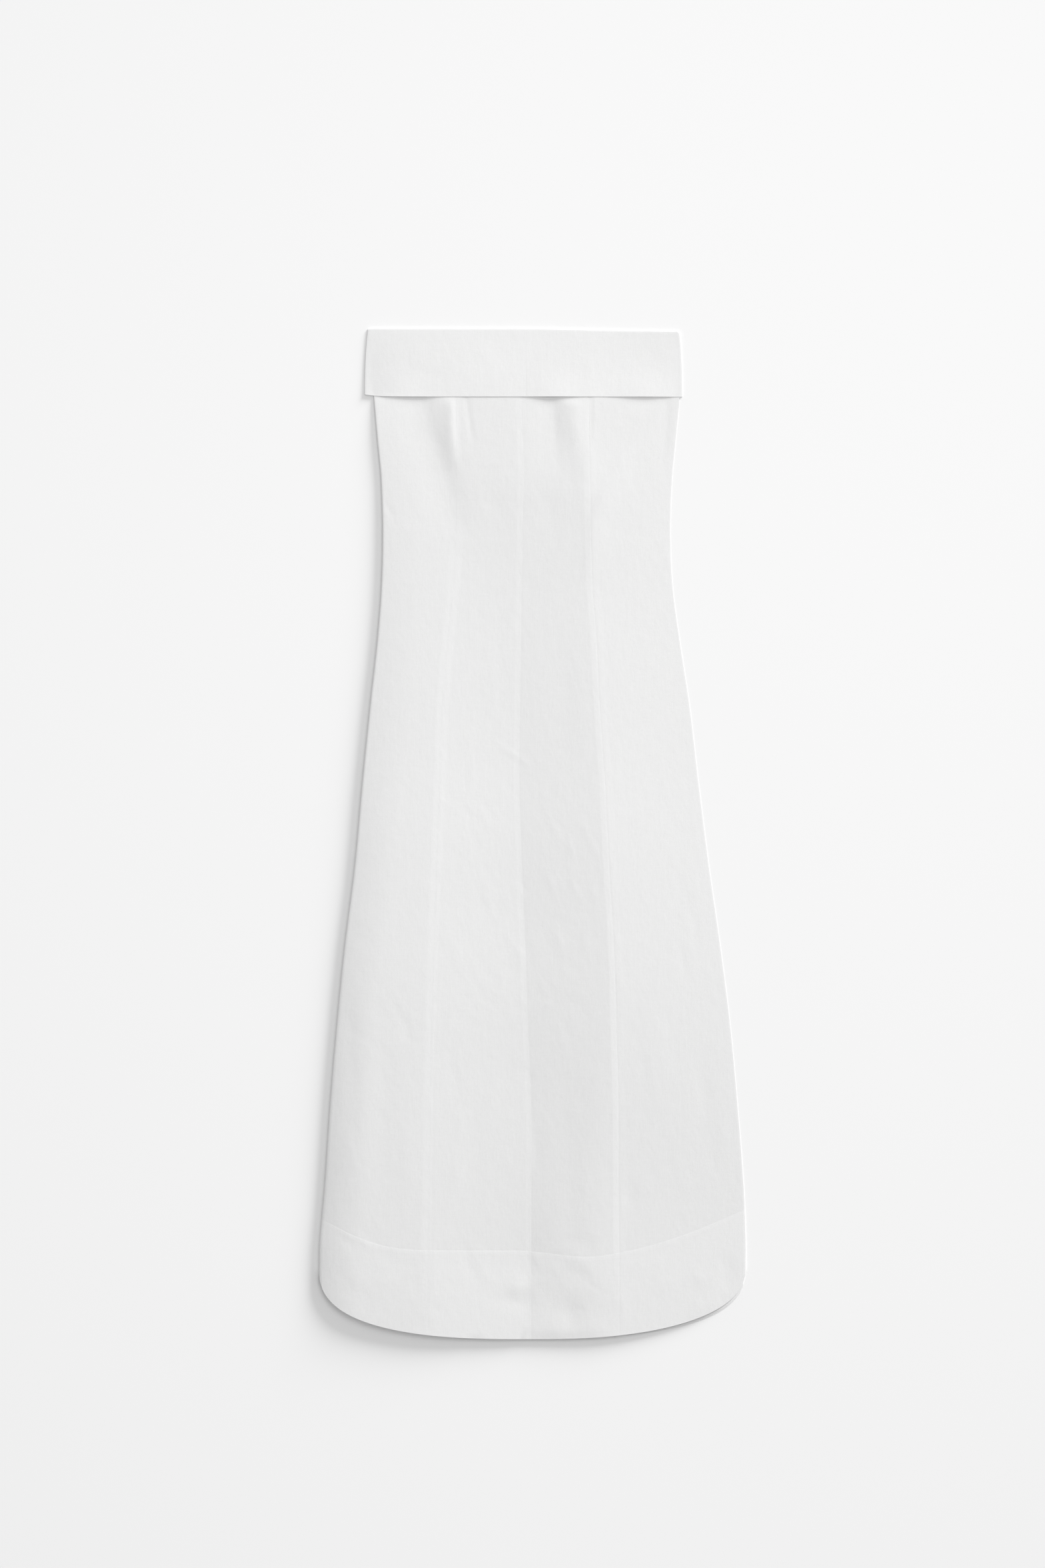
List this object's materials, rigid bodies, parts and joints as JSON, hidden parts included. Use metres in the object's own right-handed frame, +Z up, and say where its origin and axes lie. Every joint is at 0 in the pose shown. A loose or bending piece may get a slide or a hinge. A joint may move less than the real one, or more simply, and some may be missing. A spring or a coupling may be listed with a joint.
{
  "type": "strapless dress",
  "caption": "Strapless midi dress in white linen with a turned-down cuff, princess seams and a curved, faced hem, laid flat on its back.",
  "frame": {"origin": "middle of the outline, on the surface that the back of the dress lies on", "axes": "+Z up out of the surface and out of the front, +Y from the hem to the cuff, +X to the right as seen from above"},
  "size_m": [0.5313, 1.2573, 0.0099],
  "materials": {
    "body_linen": "matt, slightly sheer plain-woven white linen",
    "facing_linen": "matt plain-woven white linen, a second layer behind the hem",
    "cuff_linen": "matt plain-woven white linen, two layers"
  },
  "bodies": {
    "root": {"front_side_left": "body_linen", "front_centre_left": "body_linen", "front_centre_right": "body_linen", "front_side_right": "body_linen", "back_left": "body_linen", "back_right": "body_linen", "hem_facing_front": "facing_linen", "hem_facing_back": "facing_linen", "cuff_front_left": "cuff_linen", "cuff_front_right": "cuff_linen", "cuff_back": "cuff_linen"}
  },
  "joints": []
}
